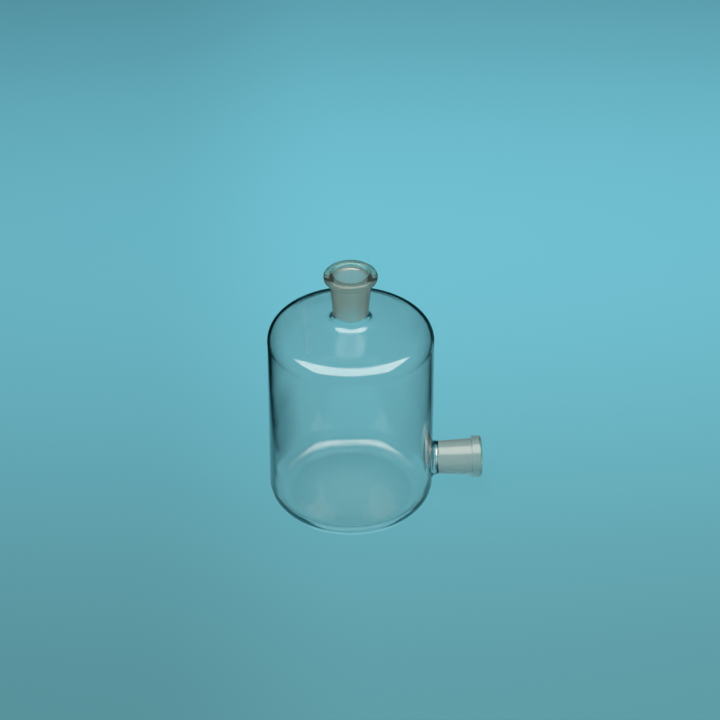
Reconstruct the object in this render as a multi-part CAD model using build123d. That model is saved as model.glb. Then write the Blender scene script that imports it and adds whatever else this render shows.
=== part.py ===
"""A glass aspirator flask: a flat-bottomed cylindrical bottle of about two and a half litres, with a
ground socket for a tapered stopper on its neck and a second ground socket low on its side.

Three glass pieces are made apart and then welded in the flame: the blown body, the neck socket and
the side socket. Each is one closed solid here. The body's wall is drawn out into a short collar at
each opening, and each socket stands on the flat end of its collar, so the pieces meet face to face.

Millimetres, +Z up. The origin is the middle of the base, in the plane that the flask stands on, and
the side socket points along +X.
"""

from build123d import *
from math import sqrt
import os

# ---- Blown body ----
body_diameter = 144.6
body_height = 182.3  # from the base plane to the top of the crown, taken through to the axis
wall = 2.6
base_thickness = 3.0
heel_radius = 12.0  # outside, where the wall turns into the base
shoulder_radius = 15.0  # outside, where the wall turns into the crown
crown_radius = 286.0  # the crown is a shallow dome, part of a sphere
punt_rise = 2.4  # how far the middle of the base is pushed up
foot_width = 6.0  # flat ring that the flask stands on

# ---- Ground joints, with the same standard taper and mouth in both sockets ----
joint_diameter = 29.2  # bore at the wide end of the ground cone
joint_taper = 0.1  # bore lost over each millimetre of length
joint_plain = 0.2  # unground stretch between the weld and the cone
mouth_round = 1.8  # fire-polished, from the end face into the bore
weld_land = 0.3  # straight end of a collar, past its blend into the body

# ---- Neck socket ----
neck_joint_length = 38.0  # ground length, past the 32 that the standard asks for
neck_blend = 10.0  # outside, hollow curve from the crown up towards the neck
weld_drop = 1.6  # the weld lies this far below the blend's end, where the curve is near upright
neck_weld_wall = 2.7  # wall of socket and collar where they are welded
neck_wall = 3.8  # the wall thickens upwards to this, under the lip
neck_mouth = 0.7  # unground, straight stretch of bore from the cone up to the rounded mouth
lip_reach = 5.0  # how far the lip stands out past the wall
lip_height = 6.6  # outer edge of the lip, from its underside to the end face
lip_slant = 0.7  # how far the underside drops on its way in to the wall
lip_root_round = 2.2  # hollow, from the wall into the underside
lip_low_round = 2.6
lip_top_round = 3.4

# ---- Side socket ----
side_joint_length = 36.0
side_height = 32.5  # axis above the base plane
side_blend = 5.0  # outside, hollow curve from the wall out into the collar
side_weld_wall = 2.15
side_mouth = 0.2
band_reach = 2.3  # how far the band round the mouth stands out past the tube
band_width = 8.9  # along the tube
band_round = 1.9  # at the end face
band_edge_round = 1.2  # at the step
band_root_round = 0.8  # hollow, at the foot of the step

# ---- Worked out from the sizes above ----
body_radius = body_diameter / 2
crown_centre = body_height - crown_radius
foot_outer = body_radius - heel_radius
foot_inner = foot_outer - foot_width
joint_radius = joint_diameter / 2
neck_bore = joint_radius - neck_joint_length * joint_taper / 2
side_bore = joint_radius - side_joint_length * joint_taper / 2
neck_weld_radius = neck_bore + neck_weld_wall
side_weld_radius = side_bore + side_weld_wall
neck_blend_end = neck_weld_radius - neck_blend + sqrt(neck_blend**2 - weld_drop**2)
cut_past = 1.0  # how far the hollow is carried past a weld, so that it leaves a clean end


def crown_height(radius, depth=0.0):
    """Height of the crown at a radius, or of the surface that lies depth inside it."""
    return crown_centre + sqrt((crown_radius - depth) ** 2 - radius**2)


neck_weld = crown_height(neck_blend_end + neck_blend) + neck_blend - weld_drop
side_weld = body_radius + side_blend + weld_land


def rounded(outline, rounds):
    """The face inside a closed outline, with the corner at each point rounded to its radius."""
    face = make_face(outline)
    for point, radius in rounds:
        corner = face.vertices().sort_by_distance(point)[0]
        face = fillet(corner, radius)
    return face


def turned(half_section):
    """The solid that a half section sweeps round the Z axis. X in the section is the radius."""
    return revolve(Plane.XZ * half_section, Axis.Z)


def bottle_form(radius, depth, floor, heel, shoulder, neck_radius, blend, top):
    """A full bottle shape: the outside of the body, or its hollow, which lies depth inside it."""
    foot = (foot_inner, floor)
    shoulder_corner = (radius, crown_height(radius, depth))
    neck_corner = (neck_radius, crown_height(neck_radius, depth))
    punt_radius = (foot_inner**2 + punt_rise**2) / (2 * punt_rise)
    outline = [
        RadiusArc((0, floor + punt_rise), foot, punt_radius),
        Polyline(foot, (radius, floor), shoulder_corner),
        RadiusArc(shoulder_corner, neck_corner, -(crown_radius - depth)),
        Polyline(neck_corner, (neck_radius, top), (0, top), (0, floor + punt_rise)),
    ]
    rounds = [((radius, floor), heel), (shoulder_corner, shoulder), (neck_corner, blend)]
    return turned(rounded(outline, rounds))


def with_side_tube(form, tube_radius, tube_end, blend):
    """The form with a tube out of its side, blended into it all the way round."""
    tube = Cylinder(tube_radius, tube_end, align=(Align.CENTER, Align.CENTER, Align.MIN))
    joined = form + Pos(0, 0, side_height) * Rot(0, 90, 0) * tube

    def on_tube(point):
        return abs(sqrt(point.Y**2 + (point.Z - side_height) ** 2) - tube_radius) < 1e-3

    seam = [
        edge
        for edge in joined.edges()
        if edge.geom_type != GeomType.LINE
        and edge.center().X < tube_end - blend / 2
        and all(on_tube(edge @ t) for t in (0.0, 0.3, 0.7, 1.0))
    ]
    return fillet(seam, blend)


def bottle_body():
    """The blown body: the outside less the hollow, each with the side tube blended in."""
    neck_top = neck_weld + weld_drop + cut_past
    outside = bottle_form(
        body_radius, 0.0, 0.0, heel_radius, shoulder_radius, neck_blend_end, neck_blend, neck_top
    )
    hollow_heel = heel_radius - wall
    hollow = bottle_form(
        body_radius - wall,
        wall,
        base_thickness,
        hollow_heel,
        shoulder_radius - wall,
        neck_bore,
        neck_blend + wall - weld_drop - weld_land,
        neck_top + cut_past,
    )
    room_below = side_height - side_bore - base_thickness - hollow_heel
    hollow_blend = min(side_blend + wall, room_below)
    outside = with_side_tube(outside, side_weld_radius, side_weld, side_blend)
    hollow = with_side_tube(hollow, side_bore, side_weld + cut_past, hollow_blend)
    return split(outside - hollow, Plane.XY.offset(neck_weld), keep=Keep.BOTTOM)


def bore_line(length, joint_length, bore):
    """Corners down the inside of a socket, from its end face to the weld."""
    cone_top = (joint_radius, joint_plain + joint_length)
    return [(joint_radius, length), cone_top, (bore, joint_plain), (bore, 0)]


def neck_socket():
    """The neck's ground socket, with a thick rounded lip. It stands on the collar of the crown."""
    length = joint_plain + neck_joint_length + neck_mouth + mouth_round
    under_lip = length - lip_height
    lip_root = under_lip - lip_slant
    wall_radius = neck_bore + (lip_root - joint_plain) * joint_taper / 2 + neck_wall
    lip_radius = wall_radius + lip_reach
    bore = bore_line(length, neck_joint_length, neck_bore)
    outline = Polyline(
        (neck_weld_radius, 0),
        (wall_radius, lip_root),
        (lip_radius, under_lip),
        (lip_radius, length),
        *bore,
        close=True,
    )
    rounds = [
        ((wall_radius, lip_root), lip_root_round),
        ((lip_radius, under_lip), lip_low_round),
        ((lip_radius, length), lip_top_round),
        (bore[0], mouth_round),
    ]
    return Pos(0, 0, neck_weld) * turned(rounded(outline, rounds))


def side_socket():
    """The side's ground socket, with a band round its mouth. It stands on the collar of the wall."""
    length = joint_plain + side_joint_length + side_mouth + mouth_round
    step = length - band_width
    tube_radius = side_weld_radius + (step - joint_plain) * joint_taper / 2
    band_radius = tube_radius + band_reach
    bore = bore_line(length, side_joint_length, side_bore)
    outline = Polyline(
        (side_weld_radius, 0),
        (side_weld_radius, joint_plain),
        (tube_radius, step),
        (band_radius, step),
        (band_radius, length),
        *bore,
        close=True,
    )
    rounds = [
        ((tube_radius, step), band_root_round),
        ((band_radius, step), band_edge_round),
        ((band_radius, length), band_round),
        (bore[0], mouth_round),
    ]
    upright = turned(rounded(outline, rounds))
    return Pos(side_weld, 0, side_height) * Rot(0, 90, 0) * upright


os.makedirs("parts", exist_ok=True)
export_step(bottle_body(), "parts/bottle_body.step")
export_step(neck_socket(), "parts/neck_socket.step")
export_step(side_socket(), "parts/side_socket.step")
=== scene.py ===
"""Looks of a glass aspirator flask: its blown body, its two ground sockets and a plain studio."""

from math import acos, asin, atan2, cos, degrees, exp, hypot, pi, radians, sin, sqrt
from random import Random

import bpy
from bpy.props import FloatProperty, FloatVectorProperty, IntProperty, PointerProperty
from mathutils import Matrix, Vector


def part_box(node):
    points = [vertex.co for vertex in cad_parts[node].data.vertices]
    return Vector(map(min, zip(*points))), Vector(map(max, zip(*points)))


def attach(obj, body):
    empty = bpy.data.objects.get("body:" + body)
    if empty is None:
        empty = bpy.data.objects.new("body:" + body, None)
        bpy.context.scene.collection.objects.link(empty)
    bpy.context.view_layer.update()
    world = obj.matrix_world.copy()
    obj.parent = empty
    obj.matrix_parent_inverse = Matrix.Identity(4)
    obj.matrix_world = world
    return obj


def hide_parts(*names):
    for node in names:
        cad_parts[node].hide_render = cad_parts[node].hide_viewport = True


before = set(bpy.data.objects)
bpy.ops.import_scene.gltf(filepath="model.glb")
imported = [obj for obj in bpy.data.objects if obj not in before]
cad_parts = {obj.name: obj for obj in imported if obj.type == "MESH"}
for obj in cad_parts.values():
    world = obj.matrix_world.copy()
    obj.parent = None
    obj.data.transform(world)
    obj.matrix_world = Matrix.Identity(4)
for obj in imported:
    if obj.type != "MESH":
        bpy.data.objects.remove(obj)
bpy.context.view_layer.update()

bl_info = {
    "name": "Aspirator Flask",
    "version": (1, 0, 0),
    "blender": (4, 5, 0),
    "location": "3D View > Sidebar > Flask",
    "description": "Builds the glass of an aspirator flask over its solids, and a studio for it",
    "category": "Add Mesh",
}

BODY_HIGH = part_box("bottle_body")[1]
NECK_LOW, NECK_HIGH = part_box("neck_socket")
SIDE_LOW, SIDE_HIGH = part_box("side_socket")
SIDE_HEIGHT = (SIDE_LOW.z + SIDE_HIGH.z) / 2
UP = Vector((0.0, 0.0, 1.0))
SHARP = radians(40)  # a corner steeper than this is shaded sharp
TOUCHING = 2e-6  # points nearer than this are one


def length_input(name, default, description):
    return FloatProperty(
        name=name, description=description, default=default, min=0.0, unit="LENGTH", precision=4
    )


class FlaskBodySizes(bpy.types.PropertyGroup):
    """Sizes of the blown body"""

    radius: length_input("Radius", BODY_HIGH.y, "Outside radius of the wall")
    height: length_input("Height", 0.1823, "Crown above the base, at the axis")
    wall: length_input("Wall", 0.0026, "Thickness of the wall, the shoulder and the crown")
    base_thickness: length_input("Base", 0.003, "Thickness of the base")
    heel_radius: length_input("Heel", 0.012, "Where the wall turns into the base")
    shoulder_radius: length_input("Shoulder", 0.015, "Where the wall turns into the crown")
    crown_radius: length_input("Crown", 0.286, "Radius of the shallow dome on top")
    punt_rise: length_input("Punt", 0.0024, "Rise of the middle of the base")
    foot_width: length_input("Foot", 0.006, "Width of the ring it stands on")
    neck_blend: length_input("Neck blend", 0.010, "Hollow curve up towards the neck")
    neck_blend_inside: length_input("Neck blend inside", 0.0107, "The same curve in the hollow")
    side_blend: length_input("Side blend", 0.005, "Hollow curve out into the side tube")
    side_blend_inside: length_input("Side blend inside", 0.0073, "The same curve in the hollow")
    unevenness: length_input("Unevenness", 0.00016, "How far the blown wall swells and thins")
    heel_gather: length_input("Gathered heel", 0.0016, "Extra glass in the heel")
    weld_pucker: length_input("Pucker", 0.00022, "How far the side weld puckers")
    weld_bead: length_input("Bead", 0.0006, "Bead of glass beside the side weld")
    columns: IntProperty(
        name="Columns", description="Faces round the body", default=288, min=64, max=512
    )


class GroundJointSizes(bpy.types.PropertyGroup):
    """Sizes of the ground joint that both sockets share"""

    radius: length_input("Radius", 0.0146, "Radius at the wide end of the ground cone")
    plain: length_input("Plain", 0.0002, "Stretch between the weld and the ground cone")
    taper: FloatProperty(
        name="Taper", description="Bore lost over each unit of length", default=0.1, min=0.0
    )
    mouth_round: length_input("Mouth", 0.0018, "Fire-polished corner at the end face")
    steps: IntProperty(
        name="Steps", description="Faces round each socket", default=224, min=32, max=512
    )


class NeckSocketSizes(bpy.types.PropertyGroup):
    """Sizes of the neck's socket"""

    ground: length_input("Ground", 0.038, "Length of the ground cone")
    weld_wall: length_input("Weld wall", 0.0027, "Wall where the socket meets the body")
    wall: length_input("Wall", 0.0038, "Wall under the lip")
    lip_radius: length_input("Lip radius", NECK_HIGH.y, "Outer edge of the lip")
    lip_height: length_input("Lip", 0.0066, "From the lip's underside to the end face")
    lip_slant: length_input("Slant", 0.0007, "How far the underside drops on its way in")
    root_round: length_input("Lip root", 0.0022, "Hollow curve from the wall into the lip")
    low_round: length_input("Lip's lower corner", 0.0026, "Rounding under the lip's edge")
    top_round: length_input("Lip's upper corner", 0.0034, "Rounding over the lip's edge")
    lip_from: length_input("Heavy from", 0.0334, "Where the heavy glass of the lip starts")


class SideSocketSizes(bpy.types.PropertyGroup):
    """Sizes of the side's socket"""

    ground: length_input("Ground", 0.036, "Length of the ground cone")
    weld_wall: length_input("Weld wall", 0.00215, "Wall where the socket meets the body")
    band_radius: length_input("Band radius", SIDE_HIGH.y, "Outside of the band at the mouth")
    band_width: length_input("Band", 0.0089, "Width of the band at the mouth")
    band_round: length_input("Band corner", 0.0019, "Corner of the band at the end face")
    band_edge_round: length_input("Band edge", 0.0012, "Corner of the band at its step")
    band_root_round: length_input("Band root", 0.0008, "Hollow at the foot of the step")
    lip_from: length_input("Heavy from", 0.0370, "Where the heavy glass of the mouth starts")


def colour_input(name, default, description):
    return FloatVectorProperty(
        name=name,
        description=description,
        default=default,
        size=3,
        min=0.0,
        max=1.0,
        subtype="COLOR",
    )


class GlassFinish(bpy.types.PropertyGroup):
    """Colours and finishes of the glass"""

    clear: colour_input("Clear glass", (0.985, 0.955, 0.94), "Seen through a wall")
    thick: colour_input("Thick glass", (0.64, 0.77, 0.68), "The heavier glass of the sockets")
    lip: colour_input("Lip glass", (0.50, 0.655, 0.575), "The heaviest glass, at the mouths")
    ground: colour_input("Ground glass", (0.83, 0.835, 0.80), "Fine ground cone of the neck")
    ground_side: colour_input("Ground glass, side", (0.63, 0.685, 0.71), "The same of the side")
    # edge, grazed and ground_slant are partly painted shade: glass seen at a slant darkens to them,
    # standing for dark outlines that the glass shows of its surroundings as well as for the long
    # path through it
    edge: colour_input("Edge", (0.004, 0.046, 0.050), "Outline, where a wall is seen edge on")
    grazed: colour_input("Grazed glass", (0.20, 0.28, 0.29), "Inside of a wall, seen at a slant")
    ground_slant: colour_input("Slanted ground", (0.36, 0.47, 0.38), "The neck's, at a slant")
    shade: colour_input("Shade", (0.99, 0.995, 0.995), "What a surface leaves of the lamp's light")
    bend: FloatProperty(name="IOR", description="Index of refraction", default=1.473, min=1.0)


class StudioSizes(bpy.types.PropertyGroup):
    """The sheet, the lamp, the surroundings and the camera"""

    # Painted shade: the sheet is given darker near the viewer than far behind the flask
    near: colour_input("Sheet, near", (0.103, 0.296, 0.338), "Sheet in front of the flask")
    far: colour_input("Sheet, far", (0.238, 0.755, 0.915), "Sheet behind the flask")
    # Painted dark surroundings on the sheet, which only rays mirrored by the glass see past the
    # sheet's limits
    painted_table: colour_input("Table", (0.002, 0.020, 0.026), "What the glass mirrors past the sheet")
    # Painted light on the sheet under the flask, for the light that the glass gathers
    painted_gathered_light: colour_input("Gathered light", (0.55, 0.95, 1.0), "Light that the flask gathers")
    dark: colour_input("Dark room", (0.003, 0.022, 0.028), "What the glass mirrors past the floor")
    horizon: colour_input("Horizon", (0.065, 0.162, 0.188), "What the camera sees past the floor")
    floor_radius: length_input("Floor", 2.6, "Radius of the round floor")
    sheet_left: length_input("Sheet, left", 0.132, "How far the glass mirrors it, left")
    sheet_right: length_input("Sheet, right", 0.150, "The same on the right")
    sheet_front: length_input("Sheet, front", 0.55, "The same towards the viewer")
    sheet_back: length_input("Sheet, back", 0.65, "The same away from the viewer")
    lamp_height: length_input("Lamp height", 1.35, "Lamp above the floor")
    lamp_forward: length_input("Lamp forward", 0.36, "Lamp's middle, towards the viewer")
    lamp_width: length_input("Lamp width", 2.7, "From left to right")
    lamp_depth: length_input("Lamp depth", 1.36, "From front to back")
    lamp_radiance: FloatProperty(
        name="Lamp radiance", description="Light from each square metre", default=3.06, min=0.0
    )
    # Painted highlight: colour and strength of a glowing card that only the glass shows
    highlight_colour: colour_input("Lamp face", (1.0, 0.62, 0.42), "Lamp as the glass mirrors it")
    face_strength: FloatProperty(
        name="Face strength", description="Brightness of the mirrored lamp", default=2.2, min=0.0
    )
    camera_distance: length_input("Camera distance", 2.3934, "From the point looked at")


class FlaskSettings(bpy.types.PropertyGroup):
    """All settings of the flask"""

    body: PointerProperty(type=FlaskBodySizes)
    joint: PointerProperty(type=GroundJointSizes)
    neck: PointerProperty(type=NeckSocketSizes)
    side: PointerProperty(type=SideSocketSizes)
    glass: PointerProperty(type=GlassFinish)
    studio: PointerProperty(type=StudioSizes)


# ---- Half sections ----


def arc(centre, radius, start, stop, steps):
    """Points on an arc of a half section. Angles are in degrees, from outwards towards up."""
    turns = [radians(start + (stop - start) * i / steps) for i in range(steps + 1)]
    return [(centre[0] + radius * cos(a), centre[1] + radius * sin(a)) for a in turns]


def spread(start, stop, steps):
    """Points along a straight run, without its first one."""
    return [
        tuple(a + (b - a) * i / steps for a, b in zip(start, stop)) for i in range(1, steps + 1)
    ]


def rounded_outline(corners, longest=0.002, hold=0.0003, bend_step=6.0):
    """A closed half section with each corner (radius, height, rounding) cut to its arc. A long
    run has a point at hold from each end, which keeps its shading flat."""
    bends = []
    for i, (r, z, rounding) in enumerate(corners):
        here = Vector((r, z))
        back = (Vector(corners[i - 1][:2]) - here).normalized()
        on = (Vector(corners[(i + 1) % len(corners)][:2]) - here).normalized()
        half = acos(max(-1.0, min(1.0, back.dot(on)))) / 2
        straight = half > pi / 2 - 1e-4
        if rounding == 0 or straight:
            bends.append([(r, z)])
            continue
        centre = here + (back + on).normalized() * (rounding / sin(half))
        reach = rounding * cos(half) / sin(half)
        first, last = here + back * reach - centre, here + on * reach - centre
        start = degrees(atan2(first.y, first.x))
        sweep = degrees(atan2(first.cross(last), first.dot(last)))
        steps = max(3, round(abs(sweep) / bend_step))
        bends.append(arc(centre, rounding, start, start + sweep, steps))
    outline = []
    for i, bend in enumerate(bends):
        outline += bend
        start, stop = Vector(bend[-1]), Vector(bends[(i + 1) % len(bends)][0])
        run = (stop - start).length
        if run > 3 * hold:
            edge = (stop - start) * (hold / run)
            near, far = start + edge, stop - edge
            outline.append(tuple(near))
            outline += spread(near, far, max(1, round(run / longest)))
    return outline


def bore_at_weld(joint, socket):
    """Radius of a socket's bore at its narrow end, where it is welded on."""
    return joint.radius - socket.ground * joint.taper / 2


# Rows of faces along the body's half section, from the middle of the base up
PUNT_ROWS, FOOT_ROWS, HEEL_ROWS, WINDOW_ROWS = 22, 3, 16, 30
WALL_ROWS, SHOULDER_ROWS, CROWN_ROWS, NECK_ROWS = 28, 18, 16, 14

# The window that the side tube grows from
WINDOW_REACH = radians(21.5)  # half its width, round the wall
WINDOW_HEEL_ROWS = 3  # rows of the heel that it takes in
WINDOW_TOP = 2 * SIDE_HEIGHT - 0.004


def bottle_line(body, neck, depth):
    """Half section from the middle of the base up to the neck weld, whose radius is given: the
    body's outside, or its hollow, which lies depth inside it. Also gives the rows at which the
    window for the side tube begins and ends."""
    radius = body.radius - depth
    heel, shoulder = body.heel_radius - depth, body.shoulder_radius - depth
    sphere, sphere_height = body.crown_radius - depth, body.height - body.crown_radius
    floor = body.base_thickness if depth else 0.0
    blend = body.neck_blend_inside if depth else body.neck_blend
    foot = body.radius - body.heel_radius
    punt_edge = foot - body.foot_width
    punt = (punt_edge**2 + body.punt_rise**2) / (2 * body.punt_rise)
    line = [(0.0, floor + body.punt_rise)]
    for i in range(1, PUNT_ROWS + 1):
        r = punt_edge * i / PUNT_ROWS
        line.append((r, floor + body.punt_rise - punt + sqrt(punt**2 - r**2)))
    line += spread(line[-1], (foot, floor), FOOT_ROWS)
    line += arc((radius - heel, floor + heel), heel, -90, 0, HEEL_ROWS)[1:]
    window_start = len(line) - 1 - WINDOW_HEEL_ROWS
    line += spread(line[-1], (radius, WINDOW_TOP), WINDOW_ROWS)
    window_end = len(line) - 1
    turn = radius - shoulder
    turn_height = sphere_height + sqrt((sphere - shoulder) ** 2 - turn**2)
    line += spread(line[-1], (radius, turn_height), WALL_ROWS)
    top = degrees(asin((turn_height - sphere_height) / (sphere - shoulder)))
    line += arc((turn, turn_height), shoulder, 0, top, SHOULDER_ROWS)[1:]
    # The blend stops at the weld, or just below it, and comes out at the neck's own radius there
    reach = neck + blend
    for _ in range(4):
        root = (reach, sphere_height + sqrt((sphere + blend) ** 2 - reach**2))
        drop = max(0.0, root[1] - BODY_HIGH.z)
        reach = neck + sqrt(blend**2 - drop**2)
    meet = degrees(acos(root[0] / (sphere + blend)))
    line += arc((0.0, sphere_height), sphere, top, meet, CROWN_ROWS)[1:]
    line += arc(root, blend, meet - 180, degrees(asin(drop / blend)) - 180, NECK_ROWS)[1:]
    if drop > 0:
        line.pop()
    line.append((neck, BODY_HIGH.z))
    return line, window_start, window_end


def bore_corners(joint, socket, length):
    """Corners down the inside of a socket, from its end face to the weld."""
    bore = bore_at_weld(joint, socket)
    cone_top = (joint.radius, joint.plain + socket.ground, 0.0)
    mouth = (joint.radius, length, joint.mouth_round)
    return mouth, cone_top, (bore, joint.plain, 0.0), (bore, 0.0, 0.0)


def neck_outline(neck, joint):
    """Half section of the neck socket, standing on its weld."""
    bore = bore_at_weld(joint, neck)
    height = NECK_HIGH.z - NECK_LOW.z
    under_lip = height - neck.lip_height
    root = under_lip - neck.lip_slant
    wall = bore + (root - joint.plain) * joint.taper / 2 + neck.wall
    return rounded_outline(
        [
            (bore + neck.weld_wall, 0.0, 0.0),
            (wall, root, neck.root_round),
            (neck.lip_radius, under_lip, neck.low_round),
            (neck.lip_radius, height, neck.top_round),
            *bore_corners(joint, neck, height),
        ]
    )


def side_outline(side, joint):
    """Half section of the side socket, standing on its weld."""
    bore = bore_at_weld(joint, side)
    length = SIDE_HIGH.x - SIDE_LOW.x
    step = length - side.band_width
    tube = bore + side.weld_wall + (step - joint.plain) * joint.taper / 2
    taper_start, taper_round = 0.0012, 0.02
    return rounded_outline(
        [
            (bore + side.weld_wall, 0.0, 0.0),
            (bore + side.weld_wall, taper_start, taper_round),
            (tube, step, side.band_root_round),
            (side.band_radius, step, side.band_edge_round),
            (side.band_radius, length, side.band_round),
            *bore_corners(joint, side, length),
        ]
    )


# ---- Blown body ----


class GlassMesh:
    """Points and faces of one piece, with the finish of each face."""

    def __init__(self):
        self.points, self.faces, self.finishes = [], [], []

    def point(self, x, y, z):
        self.points.append((x, y, z))
        return len(self.points) - 1

    def face(self, corners, flip=False, finish=0):
        self.faces.append(corners[::-1] if flip else corners)
        self.finishes.append(finish)

    def fan(self, pole, row, flip=False, finish=0):
        """Faces from a pole to the row round it."""
        for i in range(len(row)):
            self.face((pole, row[(i + 1) % len(row)], row[i]), flip, finish)

    def strip(self, low, high, flip=False, finish=0):
        """Faces between two rows of points."""
        for i in range(len(low)):
            j = (i + 1) % len(low)
            self.face((low[i], low[j], high[j], high[i]), flip, finish)

    def piece(self, name, finishes):
        mesh = bpy.data.meshes.new(name)
        mesh.from_pydata(self.points, [], self.faces)
        for material in finishes:
            mesh.materials.append(material)
        mesh.polygons.foreach_set("material_index", self.finishes)
        return smooth_piece(name, mesh)


def smooth_piece(name, mesh):
    """The mesh as an object in the scene, shaded smooth but for its sharp corners."""
    mesh.shade_smooth()
    mesh.set_sharp_from_angle(angle=SHARP)
    mesh.update()
    piece = bpy.data.objects.new(name, mesh)
    bpy.context.scene.collection.objects.link(piece)
    return piece


def swelling(seed, waves=14):
    """How the thickness of a blown wall drifts: a sum of slow waves, most of them upright."""
    chance = Random(seed)
    terms = []
    for _ in range(waves):
        pitch = chance.uniform(0.022, 0.085)
        heading, tilt = chance.uniform(0, 2 * pi), chance.gauss(0.0, 0.35)
        along = Vector((cos(heading) * cos(tilt), sin(heading) * cos(tilt), sin(tilt)))
        terms.append((along * (2 * pi / pitch), chance.uniform(0, 2 * pi), pitch / 0.085))
    level = sqrt(sum(share**2 for _, _, share in terms) / 2)
    return lambda p: sum(s * sin(k.dot(p) + start) for k, start, s in terms) / level


def ease(value, start, stop):
    """0 up to start, 1 from stop on, and smooth between."""
    t = max(0.0, min(1.0, (value - start) / (stop - start)))
    return t * t * (3 - 2 * t)


def blown_skin(glass, body, neck, tube, depth):
    """One skin of the body: turned rows, with a window in the wall that the side tube grows from.
    Takes the radii of the neck and of the tube where they are welded, and gives its first point
    and the end rows at both welds."""
    line, low, high = bottle_line(body, neck, depth)
    flip = finish = int(depth > 0)
    columns, reach = body.columns, round(WINDOW_REACH / (2 * pi / body.columns))
    radius, blend = body.radius - depth, body.side_blend_inside if depth else body.side_blend
    wall_steps, bend_steps = 16, 32 if depth else 14
    first = len(glass.points)
    pole = glass.point(0.0, 0.0, line[0][1])
    turns = [2 * pi * i / columns for i in range(columns)]
    inside = [i % columns for i in range(1 - reach, reach)]
    rows = []
    for j, (r, z) in enumerate(line[1:], 1):
        row = [None] * columns
        for i, a in enumerate(turns):
            if not (low < j < high and i in inside):
                row[i] = glass.point(r * cos(a), r * sin(a), z)
        rows.append(row)
    glass.fan(pole, rows[0], flip, finish)
    for j in range(1, len(rows)):
        for i in range(columns):
            k = (i + 1) % columns
            across = (i + reach) % columns < 2 * reach
            if not (low <= j < high and across):
                face = (rows[j - 1][i], rows[j - 1][k], rows[j][k], rows[j][i])
                glass.face(face, flip, finish)

    # Window's edge, anticlockwise seen from outside, from its lower corner
    edge = [(i, low) for i in range(-reach, reach)]
    edge += [(reach, j) for j in range(low, high)]
    edge += [(i, high) for i in range(reach, -reach, -1)]
    edge += [(-reach, j) for j in range(high, low, -1)]
    ring = [rows[j - 1][i % columns] for i, j in edge]
    spots = [(2 * pi * i / columns * body.radius, line[j][1]) for i, j in edge]
    phases = [atan2(z - SIDE_HEIGHT, s) for s, z in spots]
    heel, floor = body.heel_radius - depth, body.base_thickness if depth else 0.0

    def on_wall(turn, z):
        drop = max(0.0, floor + heel - z)
        r = radius - heel + sqrt(heel**2 - drop**2)
        return glass.point(r * cos(turn), r * sin(turn), z)

    def centre(phase):
        out = tube + blend
        y = out * cos(phase)
        return Vector((sqrt((radius + blend) ** 2 - y * y), y, SIDE_HEIGHT + out * sin(phase)))

    balls = [centre(phase) for phase in phases]
    touch = [(atan2(c.y, c.x), c.z) for c in balls]
    for n in range(1, wall_steps + 1):
        t = 1 - (1 - n / wall_steps) ** 1.5  # the rows close up towards the bend
        row = []
        for (s, z), (turn, touch_z) in zip(spots, touch):
            start = s / body.radius
            row.append(on_wall(start + (turn - start) * t, z + (touch_z - z) * t))
        glass.strip(ring, row, flip, finish)
        ring = row
    for n in range(1, bend_steps + 1):
        t = n / bend_steps
        row = []
        for phase, c in zip(phases, balls):
            out = Vector((-c.x, -c.y, 0.0)).normalized()
            side = Vector((0.0, -cos(phase), -sin(phase)))
            angle = out.angle(side)
            way = (out * sin((1 - t) * angle) + side * sin(t * angle)) / sin(angle)
            row.append(glass.point(*(c + way * blend)))
        glass.strip(ring, row, flip, finish)
        ring = row
    row = [
        glass.point(BODY_HIGH.x, tube * cos(phase), SIDE_HEIGHT + tube * sin(phase))
        for phase in phases
    ]
    glass.strip(ring, row, flip, finish)
    return first, rows[-1], row


# Radii from a socket's axis where the skin starts to be uneven, and where it is fully so
NECK_EVEN = (0.018, 0.034)
SIDE_EVEN = (0.021, 0.036)


def weld_push(p, body, pucker):
    """How the side weld moves a point of the hollow's skin: the skin puckers round it, and runs
    into a bead beside the seam."""
    spoke = Vector((0.0, p.y, p.z - SIDE_HEIGHT))
    if p.x <= 0 or spoke.length >= SIDE_EVEN[1]:
        return Vector()
    before_seam, bead_place, bead_width = BODY_HIGH.x - p.x, 0.0016, 0.0007
    near = ease(before_seam, 0.0, 0.001) * (1 - ease(spoke.length, 0.022, SIDE_EVEN[1]))
    bead = body.weld_bead * exp(-(((before_seam - bead_place) / bead_width) ** 2))
    on_wall = ease(spoke.length, 0.013, 0.020)
    way = spoke.normalized() * (1 - on_wall) + Vector((p.x, p.y, 0.0)).normalized() * on_wall
    return way * near * (body.weld_pucker * pucker(p * 3.0) - bead * (0.8 + 0.3 * pucker(p * 1.4)))


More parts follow.
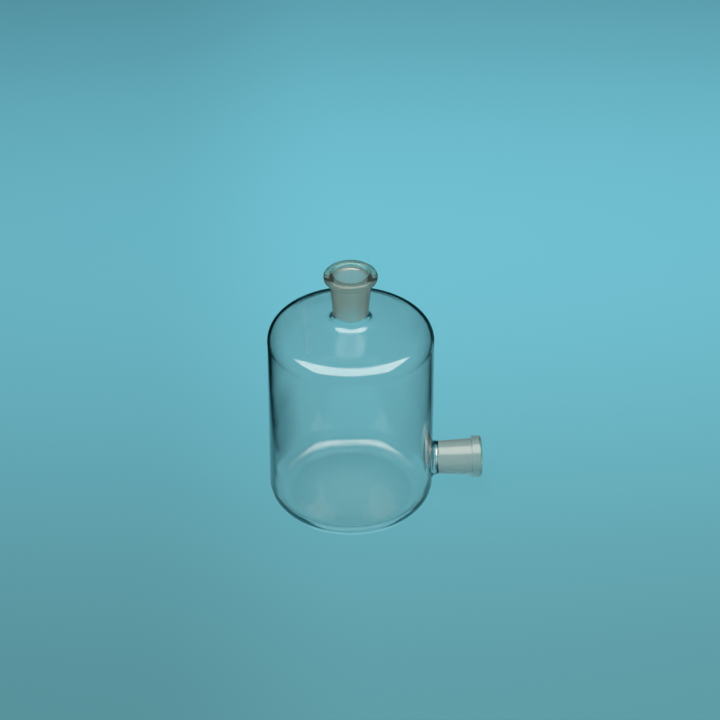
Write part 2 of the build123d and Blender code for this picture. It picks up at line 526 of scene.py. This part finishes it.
def uneven(glass, first, body):
    """Lets the hollow's skin drift in and out, but not where the sockets are welded on."""
    drift, slow, pucker = swelling(11), swelling(29, 6), swelling(43)
    crown_from = body.height - 0.022
    wall_foot, wall_top = (0.010, 0.022), (body.height - 0.03, body.height - 0.018)
    heel_radius, heel_height, heel_spread = body.radius - 0.0054, 0.0058, 0.0065
    for n in range(first, len(glass.points)):
        p = Vector(glass.points[n])
        r, high = hypot(p.x, p.y), p.z > body.height / 2
        keep = ease(r, *NECK_EVEN) if high else 1.0
        if p.x > 0:
            keep *= ease(hypot(p.y, p.z - SIDE_HEIGHT), *SIDE_EVEN)
        amount = body.unevenness * keep * (drift(p) + 0.6 * slow(p * 0.5))
        # The wall drifts outwards, and the crown and the floor up and down
        upright = ease(p.z, *wall_foot) * (1 - ease(p.z, *wall_top))
        out = UP if p.z > crown_from else Vector((p.x, p.y, 0.0)) / max(r, TOUCHING)
        flat = UP if high else -UP
        moved = p + (out * upright + flat * (1 - upright)).normalized() * amount
        # The glass gathers in the corner of the heel
        corner = hypot(r - heel_radius, p.z - heel_height)
        gather = body.heel_gather * exp(-((corner / heel_spread) ** 2))
        moved += Vector((-p.x, -p.y, r)).normalized() * gather
        glass.points[n] = tuple(moved + weld_push(p, body, pucker))


# ---- Nodes ----


def node(tree, kind, inputs=(), **settings):
    """A new node's outputs. Its settings come first, and then each input is linked to a socket or
    set to a value."""
    made = tree.nodes.new(kind)
    for key, value in settings.items():
        setattr(made, key, value)
    for key, value in dict(inputs).items():
        if isinstance(value, bpy.types.NodeSocket):
            tree.links.new(value, made.inputs[key])
        else:
            made.inputs[key].default_value = value
    return made.outputs


def worked(tree, operation, *values):
    """The values, which are numbers or sockets, taken together in order by one operation."""
    result = values[0]
    for value in values[1:] or (None,):
        inputs = {0: result} if value is None else {0: result, 1: value}
        result = node(tree, "ShaderNodeMath", inputs, operation=operation)[0]
    return result


def zone(tree, value, start, stop, low=0.0, high=1.0):
    """A value that goes smoothly from low at start to high at stop."""
    inputs = {"Value": value, "From Min": start, "From Max": stop, "To Min": low, "To Max": high}
    return node(tree, "ShaderNodeMapRange", inputs, interpolation_type="SMOOTHSTEP")[0]


def mixed_colour(tree, amount, first, second):
    """A colour between the first and the second, each of which is a colour or a socket."""
    inputs = {"Factor": amount}
    for key, value in (("A", first), ("B", second)):
        inputs[key] = value if isinstance(value, bpy.types.NodeSocket) else (*value, 1.0)
    return node(tree, "ShaderNodeMix", inputs, data_type="RGBA")["Result"]


def object_place(tree):
    """The place of a shaded point in its own object, whole and as x, y and z."""
    place = node(tree, "ShaderNodeTexCoord")["Object"]
    return place, *node(tree, "ShaderNodeSeparateXYZ", {0: place})


def new_material(name):
    """A material and its node tree."""
    material = bpy.data.materials.new(name)
    material.use_nodes = True
    return material, material.node_tree


# ---- Turned sockets ----

SOCKET_GLASS = ("Clear Glass", "Lip Glass", "Ground Glass", "Weld Seam")


def turned_glass_tree():
    """Node tree that turns a half section into a ring of glass and gives its faces their finish."""
    tree = bpy.data.node_groups.new("turned_glass", "GeometryNodeTree")
    tree.is_modifier = True
    sockets = {}

    def socket(name, kind, where="INPUT"):
        sockets[name] = tree.interface.new_socket(name, in_out=where, socket_type=kind)

    socket("Half Section", "NodeSocketGeometry")
    socket("Steps", "NodeSocketInt")
    for name in ("Ground From", "Ground To", "Within", "Lip From"):
        socket(name, "NodeSocketFloat")
    for name in SOCKET_GLASS:
        socket(name, "NodeSocketMaterial")
    socket("Glass", "NodeSocketGeometry", "OUTPUT")

    def math(operation, *values):
        return worked(tree, operation, *values)

    given = node(tree, "NodeGroupInput")
    step = math("DIVIDE", 2 * pi, given["Steps"])
    place = node(tree, "GeometryNodeInputPosition")[0]
    # One slice of glass: the half section, drawn out to the next step round
    flat = {"Mesh": given["Half Section"], "Offset Scale": 0.0}
    drawn = node(tree, "GeometryNodeExtrudeMesh", flat, mode="EDGES")
    turned = {"Vector": place, "Angle": step}
    ahead = node(tree, "ShaderNodeVectorRotate", turned, rotation_type="Z_AXIS")[0]
    opened = {"Geometry": drawn["Mesh"], "Selection": drawn["Top"], "Position": ahead}
    slice_ = node(tree, "GeometryNodeSetPosition", opened)[0]
    # A full round of slices, each turned to its own heading
    posts = node(tree, "GeometryNodePoints", {"Count": given["Steps"]})[0]
    number = node(tree, "GeometryNodeInputIndex")[0]
    heading = node(tree, "ShaderNodeCombineXYZ", {"Z": math("MULTIPLY", number, step)})[0]
    faced = node(tree, "FunctionNodeEulerToRotation", {0: heading})[0]
    slices = {"Points": posts, "Instance": slice_, "Rotation": faced}
    round_ = node(tree, "GeometryNodeInstanceOnPoints", slices)[0]
    real = node(tree, "GeometryNodeRealizeInstances", {0: round_})[0]
    seams = {"Geometry": real, "Distance": TOUCHING}
    glass = node(tree, "GeometryNodeMergeByDistance", seams)[0]

    x, y, z = node(tree, "ShaderNodeSeparateXYZ", {0: place})
    out = math("SQRT", math("ADD", math("MULTIPLY", x, x), math("MULTIPLY", y, y)))
    above = math("GREATER_THAN", z, given["Ground From"])
    below = math("LESS_THAN", z, given["Ground To"])
    within = math("LESS_THAN", out, given["Within"])
    ground = math("MULTIPLY", above, below, within)
    weld = math("LESS_THAN", z, TOUCHING)
    lip = math("GREATER_THAN", z, given["Lip From"])
    for name, chosen in zip(SOCKET_GLASS, (True, lip, ground, weld)):
        finish = {"Geometry": glass, "Selection": chosen, "Material": given[name]}
        glass = node(tree, "GeometryNodeSetMaterial", finish)[0]
    node(tree, "NodeGroupOutput", {0: glass})
    return tree, {name: made.identifier for name, made in sockets.items()}


def turned_piece(name, outline, values, place):
    """A socket turned from its half section, as a plain mesh set in its place."""
    section = bpy.data.meshes.new(name + "_section")
    count = len(outline)
    section.from_pydata(
        [(r, 0.0, z) for r, z in outline], [(i, (i + 1) % count) for i in range(count)], []
    )
    draft = bpy.data.objects.new(name + "_draft", section)
    bpy.context.scene.collection.objects.link(draft)
    tree, keys = turned_glass_tree()
    modifier = draft.modifiers.new("turned", "NODES")
    modifier.node_group = tree
    for key, value in values.items():
        modifier[keys[key]] = value
    draft.update_tag()
    bpy.context.view_layer.update()
    graph = bpy.context.evaluated_depsgraph_get()
    mesh = bpy.data.meshes.new_from_object(draft.evaluated_get(graph))
    mesh.name = name
    draft.modifiers.clear()
    bpy.data.objects.remove(draft)
    bpy.data.meshes.remove(section)
    bpy.data.node_groups.remove(tree)
    if not mesh.polygons:
        raise RuntimeError(name + " came out empty")
    volume = sum(face.center.dot(face.normal) * face.area for face in mesh.polygons)
    if volume < 0:
        mesh.flip_normals()
    mesh.transform(place)
    return smooth_piece(name, mesh)


# ---- Finishes ----


def faint_variation_group():
    """Shader node group: a colour that drifts slightly, a mask of the drift and a fine grain."""
    group = bpy.data.node_groups.get("faint_variation")
    if group:
        return group
    group = bpy.data.node_groups.new("faint_variation", "ShaderNodeTree")
    face = group.interface
    face.new_socket("Color", in_out="INPUT", socket_type="NodeSocketColor")
    for name, value in (("Drift", 0.1), ("Drift Scale", 20.0), ("Grain Scale", 900.0)):
        made = face.new_socket(name, in_out="INPUT", socket_type="NodeSocketFloat")
        made.default_value = value
    for name, kind in (("Color", "Color"), ("Mask", "Float"), ("Grain", "Float")):
        face.new_socket(name, in_out="OUTPUT", socket_type="NodeSocket" + kind)
    given = node(group, "NodeGroupInput")
    place = node(group, "ShaderNodeTexCoord")["Object"]

    def noise(scale, detail):
        inputs = {"Vector": place, "Scale": given[scale], "Detail": detail}
        return node(group, "ShaderNodeTexNoise", inputs)[0]

    drift, grain = noise("Drift Scale", 3.0), noise("Grain Scale", 2.0)
    fade = worked(group, "MULTIPLY", given["Drift"], drift)
    inputs = {"Factor": fade, "A": given["Color"], "B": given["Color"]}
    darker = node(group, "ShaderNodeMix", inputs, data_type="RGBA", blend_type="MULTIPLY")
    node(group, "NodeGroupOutput", {"Color": darker["Result"], "Mask": drift, "Grain": grain})
    return group


def outer_painted_shade(tree, slant):
    """The slant at which the outer skin is seen, with painted shade added by place, which darkens
    the glass there: round the back of the shoulder, in slow waves down the left side, in the heel,
    low on the right, at the side socket's weld and in the neck's collar. The painted shade stands
    for the dark outlines that the glass shows of its dark surroundings, and stays in place when the
    flask is seen from another side."""
    place, x, y, z = object_place(tree)

    def product(*values):
        return worked(tree, "MULTIPLY", *values)

    level = {0: place, 1: (1.0, 1.0, 0.0)}
    level = node(tree, "ShaderNodeVectorMath", level, operation="MULTIPLY")["Vector"]
    radius = node(tree, "ShaderNodeVectorMath", {0: level}, operation="LENGTH")["Value"]
    high, behind = zone(tree, z, 0.158, 0.165), zone(tree, y, 0.0, 0.04, 0.0, 0.16)
    shoulder = product(zone(tree, radius, 0.051, 0.056), high, behind)
    waves = node(tree, "ShaderNodeTexNoise", {"Vector": place, "Scale": 55.0})[0]
    wavy = zone(tree, waves, 0.3, 0.7, 0.35, 1.0)
    lower, side = zone(tree, z, 0.085, 0.135, 1.0, 0.15), zone(tree, x, -0.06, 0.06, 0.11, -0.02)
    wall = product(wavy, lower, side)
    # Painted shade in the heel at both sides, with its outermost rim kept clear of it
    band = product(zone(tree, z, 0.0035, 0.007), zone(tree, z, 0.010, 0.017, 1.0, 0.0))
    heel = product(band, zone(tree, worked(tree, "ABSOLUTE", x), 0.015, 0.048, 0.0, 0.36))
    rim = product(zone(tree, z, 0.011, 0.018, -0.6, 0.0), zone(tree, slant, 0.70, 0.80))
    skirt = product(zone(tree, x, 0.050, 0.066, 0.0, 0.12), zone(tree, z, 0.020, 0.030, 1.0, 0.0))
    # Painted shade at the side socket's weld: a dark patch above it, and a dark line beside the
    # seam below
    above = product(zone(tree, x, 0.0720, 0.0740, 0.0, 0.40), zone(tree, z, 0.042, 0.045))
    near, seam = zone(tree, x, 0.0754, 0.0759), zone(tree, x, 0.0769, 0.0775, 0.75, 0.0)
    seam_shade = product(near, seam, zone(tree, z, 0.0405, 0.0435, 1.0, 0.0))
    collar = zone(tree, z, 0.1822, 0.1848, 0.0, 0.09)
    return worked(tree, "ADD", slant, shoulder, wall, heel, rim, skirt, above, seam_shade, collar)


def inner_painted_shade(tree, slant):
    """The slant at which the inner skin is seen, with painted shade added low on the left side,
    which darkens the glass there.
    """
    _, x, _, z = object_place(tree)
    left = zone(tree, x, -0.062, -0.040, 0.22, 0.0)
    low = (zone(tree, z, 0.004, 0.030), zone(tree, z, 0.070, 0.100, 1.0, 0.0))
    return worked(tree, "ADD", slant, worked(tree, "MULTIPLY", left, *low))


def glass_material(
    name, finish, colour, slant=None, painted_shade=None, transmission=1.0, roughness=0.0, grain=0.0
):
    """Glass that bends what is seen through it and lets the lamp's light pass with little loss. A
    slant is the colour that it darkens to, and the slants where that starts and is full: partly the
    long path through the glass, partly painted shade for the dark outline that the glass shows of
    its surroundings. The painted shade, given as a function, adds to the slant in places, which
    darkens the glass there. A grain is how deep it is ground."""
    material, tree = new_material(name)
    tree.nodes.clear()
    inputs = {"Color": (*colour, 1.0), "Drift": 0.12}
    if grain:
        inputs |= {"Drift": 0.5, "Drift Scale": 160.0, "Grain Scale": 2600.0}
    vary = node(tree, "ShaderNodeGroup", inputs, node_tree=faint_variation_group())
    base = vary["Color"]
    if slant is not None:
        # A ray that enters at a slant runs a long way inside the wall, which darkens it; the
        # near-black outline that this gives is mostly painted shade, standing for the dark
        # surroundings that the glass bends into view
        dark, least, most = slant
        facing = node(tree, "ShaderNodeLayerWeight", {"Blend": 0.5})["Facing"]
        seen = painted_shade(tree, facing) if painted_shade else facing
        base = mixed_colour(tree, zone(tree, seen, least, most), base, dark)
    inputs = {"Base Color": base, "Roughness": roughness, "IOR": finish.bend}
    inputs["Transmission Weight"] = transmission
    if grain:
        span = {"Value": vary["Mask"], "To Min": roughness - 0.08, "To Max": roughness + 0.08}
        inputs["Roughness"] = node(tree, "ShaderNodeMapRange", span)[0]
        bump = {"Strength": 0.35, "Distance": grain, "Height": vary["Grain"]}
        inputs["Normal"] = node(tree, "ShaderNodeBump", bump)[0]
    glass = node(tree, "ShaderNodeBsdfPrincipled", inputs)[0]
    passed = node(tree, "ShaderNodeBsdfTransparent", {"Color": (*finish.shade, 1.0)})[0]
    rays = node(tree, "ShaderNodeLightPath")
    lamp = worked(tree, "MAXIMUM", rays["Is Shadow Ray"], rays["Is Diffuse Ray"])
    both = node(tree, "ShaderNodeMixShader", {0: lamp, 1: glass, 2: passed})[0]
    node(tree, "ShaderNodeOutputMaterial", {"Surface": both})
    return material


def weld_seam_material():
    """Inside a flame weld the glass runs on, so the seam's two faces can't be seen."""
    material, tree = new_material("weld_seam")
    shader = tree.nodes["Principled BSDF"]
    shader.inputs["Alpha"].default_value = 0.0
    shader.inputs["IOR"].default_value = 1.0
    shader.inputs["Specular IOR Level"].default_value = 0.0
    return material


def finishes(finish):
    """The finishes of the glass by name, made once."""
    frosted = {"transmission": 0.76, "roughness": 0.5, "grain": 0.0001}
    # Each slant is partly painted shade for the glass's dark outline, partly the long path through
    # it; the side socket's thick glass gets less of it, and the neck's ground cone darkens and
    # greens at its sides
    clear, inside = (finish.edge, 0.66, 0.80), (finish.grazed, 0.35, 0.95)
    thick, side, lip = ((finish.edge, *span) for span in ((0.25, 1.20), (0.80, 1.20), (0.25, 1.15)))
    ground = (finish.ground_slant, 0.15, 0.85)
    recipes = {
        "clear_borosilicate": dict(colour=finish.clear, slant=clear, painted_shade=outer_painted_shade),
        "clear_borosilicate_inside": dict(colour=finish.clear, slant=inside, painted_shade=inner_painted_shade),
        "thick_borosilicate": dict(colour=finish.thick, slant=thick, transmission=0.95),
        "thick_borosilicate_side": dict(colour=finish.thick, slant=side, transmission=0.92),
        "lip_borosilicate": dict(colour=finish.lip, slant=lip, transmission=0.94),
        "ground_cone": dict(colour=finish.ground, slant=ground, **frosted),
        "ground_cone_side": dict(colour=finish.ground_side, **frosted),
    }
    for name, recipe in recipes.items():
        if name not in bpy.data.materials:
            glass_material(name, finish, **recipe)
    if "weld_seam" not in bpy.data.materials:
        weld_seam_material()
    return {name: bpy.data.materials[name] for name in (*recipes, "weld_seam")}


# ---- Operators ----


class FLASK_OT_blow_body(bpy.types.Operator):
    """Builds the blown body, from the foot to both collars"""

    bl_idname = "flask.blow_body"
    bl_label = "Blow Body"

    def execute(self, context):
        settings = context.scene.flask
        body, neck, side = settings.body, settings.neck, settings.side
        neck_bore, side_bore = (bore_at_weld(settings.joint, socket) for socket in (neck, side))
        neck_outside, side_outside = neck_bore + neck.weld_wall, side_bore + side.weld_wall
        glass = GlassMesh()
        _, neck_out, side_out = blown_skin(glass, body, neck_outside, side_outside, 0.0)
        first, neck_in, side_in = blown_skin(glass, body, neck_bore, side_bore, body.wall)
        uneven(glass, first, body)
        glass.strip(neck_out, neck_in, finish=2)
        glass.strip(side_out, side_in, finish=2)
        made = finishes(settings.glass)
        names = ("clear_borosilicate", "clear_borosilicate_inside", "weld_seam")
        piece = glass.piece("bottle_body_glass", [made[name] for name in names])
        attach(piece, "root")
        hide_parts("bottle_body")
        return {"FINISHED"}


def socket_values(settings, socket):
    """Inputs of the node tree for one socket."""
    joint, made = settings.joint, finishes(settings.glass)
    kind = "_side" if socket == settings.side else ""
    past_cone = 0.0003
    return {
        "Steps": joint.steps,
        "Ground From": joint.plain,
        "Ground To": joint.plain + socket.ground,
        "Within": joint.radius + past_cone,
        "Lip From": socket.lip_from,
        "Clear Glass": made["thick_borosilicate" + kind],
        "Lip Glass": made["lip_borosilicate"],
        "Ground Glass": made["ground_cone" + kind],
        "Weld Seam": made["weld_seam"],
    }


class FLASK_OT_turn_neck_socket(bpy.types.Operator):
    """Builds the neck's ground socket with its thick rounded lip"""

    bl_idname = "flask.turn_neck_socket"
    bl_label = "Turn Neck Socket"

    def execute(self, context):
        settings = context.scene.flask
        place = Matrix.Translation((0.0, 0.0, NECK_LOW.z))
        outline = neck_outline(settings.neck, settings.joint)
        values = socket_values(settings, settings.neck)
        piece = turned_piece("neck_socket_glass", outline, values, place)
        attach(piece, "root")
        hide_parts("neck_socket")
        return {"FINISHED"}


class FLASK_OT_turn_side_socket(bpy.types.Operator):
    """Builds the side's ground socket with the band round its mouth"""

    bl_idname = "flask.turn_side_socket"
    bl_label = "Turn Side Socket"

    def execute(self, context):
        settings = context.scene.flask
        place = Matrix.Translation((SIDE_LOW.x, 0.0, SIDE_HEIGHT)) @ Matrix.Rotation(pi / 2, 4, "Y")
        outline = side_outline(settings.side, settings.joint)
        values = socket_values(settings, settings.side)
        piece = turned_piece("side_socket_glass", outline, values, place)
        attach(piece, "root")
        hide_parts("side_socket")
        return {"FINISHED"}


def sheet_material(studio):
    """Pale paper sheet, a little darker towards the viewer and to the left, which is painted shade,
    with painted light under the flask. What the glass mirrors is only the part of it near the
    flask, and past that a painted dark table, which only rays that the glass has mirrored see."""
    material, tree = new_material("paper_sheet")
    shader = tree.nodes["Principled BSDF"]
    shader.inputs["Roughness"].default_value = 0.9
    shader.inputs["Specular IOR Level"].default_value = 0.0
    place, x, y, _ = object_place(tree)
    away = node(tree, "ShaderNodeVectorMath", {0: place}, operation="LENGTH")["Value"]
    # Painted shade: the paper darkens towards the viewer
    paper = mixed_colour(tree, zone(tree, y, -0.35, 0.75), studio.near, studio.far)
    # Painted light: a pool under the middle of the base and part of a ring at the front of its
    # foot, standing for the lamp's light that the glass gathers there
    painted_pool = zone(tree, away, 0.010, 0.052, 0.10, 0.0)
    inner, outer = zone(tree, away, 0.0625, 0.0650), zone(tree, away, 0.0655, 0.0680, 1.0, 0.0)
    ring = worked(tree, "MULTIPLY", inner, outer, zone(tree, y, -0.062, -0.045, 0.16, 0.0))
    paper = mixed_colour(tree, worked(tree, "ADD", painted_pool, ring), paper, studio.painted_gathered_light)
    # Painted shade: the paper darkens to the left
    shade = {0: paper, "Scale": zone(tree, x, -0.20, 0.02, 0.86, 1.0)}
    paper = node(tree, "ShaderNodeVectorMath", shade, operation="SCALE")["Vector"]

    def inside(value, edge, soft=0.02):
        low, high = (0.0, 1.0) if edge < 0 else (1.0, 0.0)
        return zone(tree, value, edge - soft, edge + soft, low, high)

    left, right = inside(x, -studio.sheet_left), inside(x, studio.sheet_right)
    front, back = inside(y, -studio.sheet_front), inside(y, studio.sheet_back)
    # Painted reflection: on the right, mirrored rays also see paper over a flap near the flask with
    # a slanted edge, which the sheet itself does not have
    flap_slope, flap_edge, flap_back = 0.7, (0.055, 0.090), 0.24
    across = {0: place, 1: (1.0, -flap_slope, 0.0)}
    across = node(tree, "ShaderNodeVectorMath", across, operation="DOT_PRODUCT")["Value"]
    mirrored_flap = worked(tree, "MULTIPLY", zone(tree, across, *flap_edge, 1.0, 0.0), inside(y, flap_back))
    right = worked(tree, "MAXIMUM", right, mirrored_flap)
    on_sheet = worked(tree, "MULTIPLY", left, right, front, back)
    # Rays that the glass has mirrored see the painted dark table past the sheet's limits; the
    # camera sees paper everywhere
    rays = node(tree, "ShaderNodeLightPath")
    not_mirrored = zone(tree, rays["Glossy Depth"], 0.4, 0.6, 1.0, 0.0)
    shown = worked(tree, "MAXIMUM", rays["Is Diffuse Ray"], not_mirrored, on_sheet)
    colour = mixed_colour(tree, shown, studio.painted_table, paper)
    tree.links.new(colour, shader.inputs["Base Color"])
    return material


def paper_floor(studio):
    """The round sheet that the flask stands on."""
    sheet, columns, rings = GlassMesh(), 96, 8
    pole = sheet.point(0.0, 0.0, 0.0)
    turns = [2 * pi * i / columns for i in range(columns)]
    rows = [
        [sheet.point(r * cos(a), r * sin(a), z) for a in turns]
        for r, z in spread((0.0, 0.0), (studio.floor_radius, 0.0), rings)
    ]
    sheet.fan(pole, rows[0], flip=True)
    for low, high in zip(rows, rows[1:]):
        sheet.strip(low, high, flip=True)
    return sheet.piece("paper_sheet", [sheet_material(studio)])


def overhead_softbox(scene, studio):
    """The lamp over the flask. Gives a glowing card just above it, which lights nothing and is seen
    only in the glass: a painted highlight, added to the lamp's own reflection.
    """
    lamp = bpy.data.lights.new("overhead_softbox", "AREA")
    lamp.shape, lamp.size, lamp.size_y = "RECTANGLE", studio.lamp_width, studio.lamp_depth
    lamp.energy = studio.lamp_radiance * pi * lamp.size * lamp.size_y
    softbox = bpy.data.objects.new("overhead_softbox", lamp)
    softbox.location = (0.0, -studio.lamp_forward, studio.lamp_height)
    scene.collection.objects.link(softbox)

    # Painted highlight: a warm glowing card that lights nothing and is seen only in the glass
    highlight_card, behind_lamp = GlassMesh(), 0.01
    x, y, z = lamp.size / 2, lamp.size_y / 2, studio.lamp_height + behind_lamp
    corners = ((-x, -y), (-x, y), (x, y), (x, -y))
    highlight_card.face([highlight_card.point(a, b - studio.lamp_forward, z) for a, b in corners])
    highlight_glow, tree = new_material("softbox_face")
    shown = {"Color": (*studio.highlight_colour, 1.0), "Strength": studio.face_strength}
    light = node(tree, "ShaderNodeEmission", shown)[0]
    tree.links.new(light, tree.nodes["Material Output"].inputs["Surface"])
    face = highlight_card.piece("softbox_face", [highlight_glow])
    face.visible_camera = face.visible_diffuse = face.visible_shadow = False
    return face


def studio_world(studio):
    """Surroundings that are dark to the glass, and as dim as the far floor to the camera."""
    world = bpy.data.worlds.new("studio")
    world.use_nodes = True
    tree = world.node_tree
    rays = node(tree, "ShaderNodeLightPath")
    seen = mixed_colour(tree, rays["Is Camera Ray"], studio.dark, studio.horizon)
    tree.links.new(seen, tree.nodes["Background"].inputs["Color"])
    return world


def studio_camera(scene, studio):
    """The camera, in front of the flask and above it."""
    camera = bpy.data.cameras.new("camera")
    camera.lens, camera.sensor_width, camera.clip_end = 137.89, 36.0, 20.0
    eye = bpy.data.objects.new("camera", camera)
    turn, lift = radians(-2.5), radians(34.91)
    back = Vector((sin(turn) * cos(lift), -cos(turn) * cos(lift), sin(lift)))
    aside, height = 0.008, 0.1403
    target = Vector((aside * cos(turn), aside * sin(turn), height))
    eye.location = target + back * studio.camera_distance
    eye.rotation_euler = (-back).to_track_quat("-Z", "Y").to_euler()
    scene.collection.objects.link(eye)
    return eye


class FLASK_OT_set_stage(bpy.types.Operator):
    """Sets the sheet, the lamp, the world and the camera"""

    bl_idname = "flask.set_stage"
    bl_label = "Set Stage"

    def execute(self, context):
        scene, studio = context.scene, context.scene.flask.studio
        floor = paper_floor(studio)
        face = overhead_softbox(scene, studio)
        scene.world = studio_world(studio)
        scene.camera = studio_camera(scene, studio)
        scene.view_settings.view_transform = "Standard"
        return {"FINISHED"}


class FLASK_PT_sidebar(bpy.types.Panel):
    """Sizes, finishes and steps of the flask"""

    bl_idname = "FLASK_PT_sidebar"
    bl_label = "Aspirator Flask"
    bl_space_type = "VIEW_3D"
    bl_region_type = "UI"
    bl_category = "Flask"

    def draw(self, context):
        for part in ("body", "joint", "neck", "side", "glass", "studio"):
            box = self.layout.box()
            box.label(text=part.title())
            group = getattr(context.scene.flask, part)
            for name in group.bl_rna.properties.keys():
                if name not in ("rna_type", "name"):
                    box.prop(group, name)
        for operator in OPERATORS:
            self.layout.operator(operator.bl_idname)


SETTINGS = (
    FlaskBodySizes,
    GroundJointSizes,
    NeckSocketSizes,
    SideSocketSizes,
    GlassFinish,
    StudioSizes,
    FlaskSettings,
)
OPERATORS = (
    FLASK_OT_blow_body,
    FLASK_OT_turn_neck_socket,
    FLASK_OT_turn_side_socket,
    FLASK_OT_set_stage,
)


def register():
    for made in (*SETTINGS, *OPERATORS, FLASK_PT_sidebar):
        bpy.utils.register_class(made)
    bpy.types.Scene.flask = PointerProperty(type=FlaskSettings)


def unregister():
    del bpy.types.Scene.flask
    for made in reversed((*SETTINGS, *OPERATORS, FLASK_PT_sidebar)):
        bpy.utils.unregister_class(made)


def main():
    register()
    bpy.ops.flask.blow_body()
    bpy.ops.flask.turn_neck_socket()
    bpy.ops.flask.turn_side_socket()
    bpy.ops.flask.set_stage()


if __name__ == "__main__":
    main()
